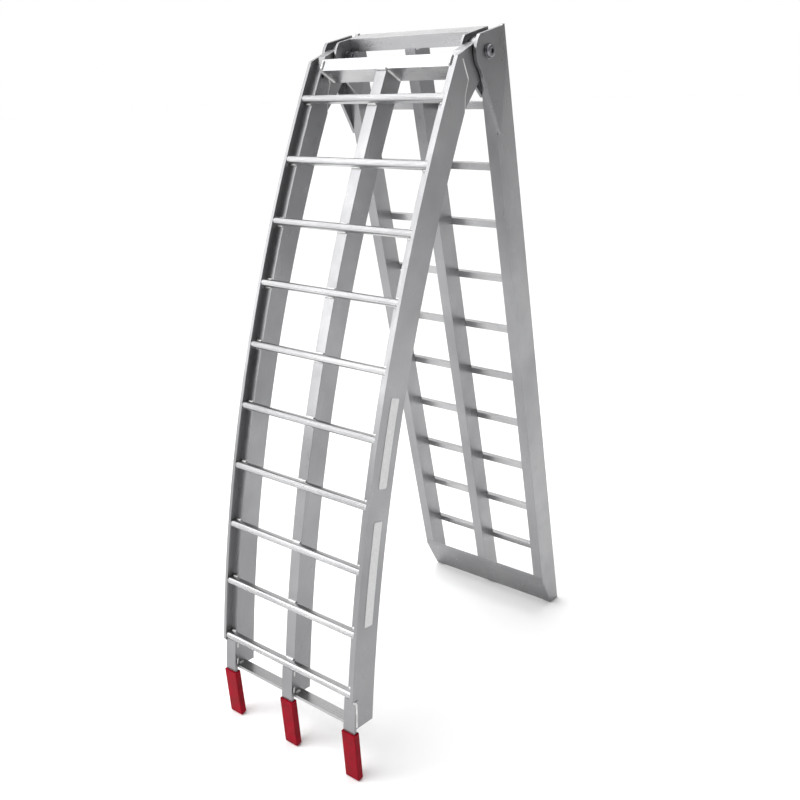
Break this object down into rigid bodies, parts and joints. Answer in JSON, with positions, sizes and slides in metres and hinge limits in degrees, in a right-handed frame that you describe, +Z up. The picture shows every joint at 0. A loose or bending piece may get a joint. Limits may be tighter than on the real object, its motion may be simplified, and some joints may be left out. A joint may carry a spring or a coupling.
{
  "type": "folding loading ramp",
  "caption": "Folding arched loading ramp: rungs on box rails, hinged in the middle, sleeved fingers at one end and a ground plate at the other, standing as an A-frame.",
  "frame": {"origin": "centre of the footprint's bounding box, on the floor", "axes": "X across the ramp; the front (arched, fingered) half leans towards -Y, the rear half towards +Y; +Z up"},
  "size_m": [0.319, 0.6614, 1.1259],
  "materials": {
    "rail": "mill finish, extruded",
    "rung": "mill finish, fine ribs along the tread",
    "plate": "mill finish, welded",
    "hardware": "zinc plated",
    "sleeve": "soft moulded, red"
  },
  "bodies": {
    "rear_section": {"ground_plate": "plate", "hinge_plate_inner_left": "plate", "hinge_plate_inner_right": "plate", "hinge_plate_outer_left": "plate", "hinge_plate_outer_right": "plate", "pivot_bolt_left": "hardware", "pivot_bolt_right": "hardware", "pivot_nut_left": "hardware", "pivot_nut_right": "hardware", "pivot_washers_left": "hardware", "pivot_washers_right": "hardware", "rear_crossbar": "rail", "rear_end_cap_left": "plate", "rear_end_cap_right": "plate", "rear_rail_centre": "rail", "rear_rail_left": "rail", "rear_rail_right": "rail", "rear_rung_01": "rung", "rear_rung_02": "rung", "rear_rung_03": "rung", "rear_rung_04": "rung", "rear_rung_05": "rung", "rear_rung_06": "rung", "rear_rung_07": "rung", "rear_rung_08": "rung", "rear_rung_09": "rung", "rear_rung_10": "rung"},
    "front_section": {"finger_centre": "plate", "finger_left": "plate", "finger_right": "plate", "finger_sleeve_centre": "sleeve", "finger_sleeve_left": "sleeve", "finger_sleeve_right": "sleeve", "front_crossbar": "rail", "front_end_plate_left": "plate", "front_end_plate_right": "plate", "front_hinge_bracket_left": "plate", "front_hinge_bracket_right": "plate", "front_rail_centre": "rail", "front_rail_left": "rail", "front_rail_right": "rail", "front_rung_01": "rung", "front_rung_02": "rung", "front_rung_03": "rung", "front_rung_04": "rung", "front_rung_05": "rung", "front_rung_06": "rung", "front_rung_07": "rung", "front_rung_08": "rung", "front_rung_09": "rung", "front_rung_10": "rung", "pivot_bush_left": "hardware", "pivot_bush_right": "hardware"}
  },
  "joints": [
    {"name": "main_fold", "type": "hinge", "parent": "rear_section", "child": "front_section", "pos_m": [0, 0.0475, 1.08643], "axis": [-1, 0, 0], "range_deg": [-30, 139.37]}
  ]
}
